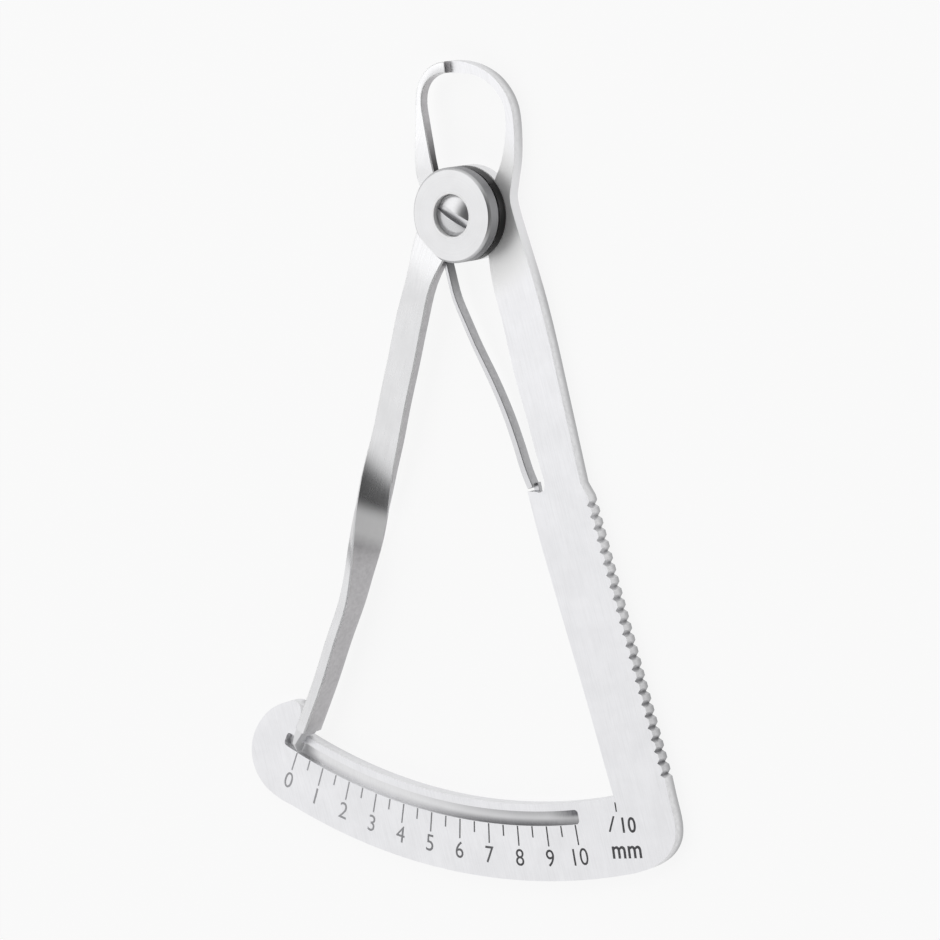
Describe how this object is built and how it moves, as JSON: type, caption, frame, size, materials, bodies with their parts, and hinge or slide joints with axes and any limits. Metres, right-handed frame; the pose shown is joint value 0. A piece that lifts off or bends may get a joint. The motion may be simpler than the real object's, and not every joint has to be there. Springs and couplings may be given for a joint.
{
  "type": "decimal wax caliper",
  "caption": "Small steel lever caliper with two curved jaws, a twisted pointer arm in a milled track on an arc scale, and a leaf spring that closes the jaws.",
  "frame": {"origin": "on the pivot's axis, in the plane of the scale plate's flat back, on the screw's flush end", "axes": "+Z out of the scale's face along the pivot's axis, +Y from the pivot to the jaws, +X towards the arm that carries the scale"},
  "size_m": [0.0667, 0.1045, 0.0055],
  "materials": {
    "plate_steel": "satin stainless steel",
    "lever_steel": "bright satin stainless steel",
    "spring_steel": "bright spring steel",
    "disc_steel": "turned and satin steel",
    "screw_steel": "bright steel",
    "bush_steel": "ground steel",
    "washer_bronze": "plain bronze"
  },
  "bodies": {
    "scale_body": {"scale_arm": "plate_steel", "leaf_spring": "spring_steel", "joint_disc": "disc_steel", "pivot_screw": "screw_steel", "pivot_bush": "bush_steel", "friction_washer": "washer_bronze", "wave_washer": "spring_steel"},
    "pointer_body": {"pointer_arm": "lever_steel"}
  },
  "joints": [
    {"name": "jaw_pivot", "type": "hinge", "parent": "scale_body", "child": "pointer_body", "pos_m": [0, 0, 0], "axis": [0, 0, 1], "range_deg": [0, 33], "stiffness_Nm_per_rad": 0.08, "springref_deg": -34.38, "deforming": ["leaf_spring"]}
  ]
}
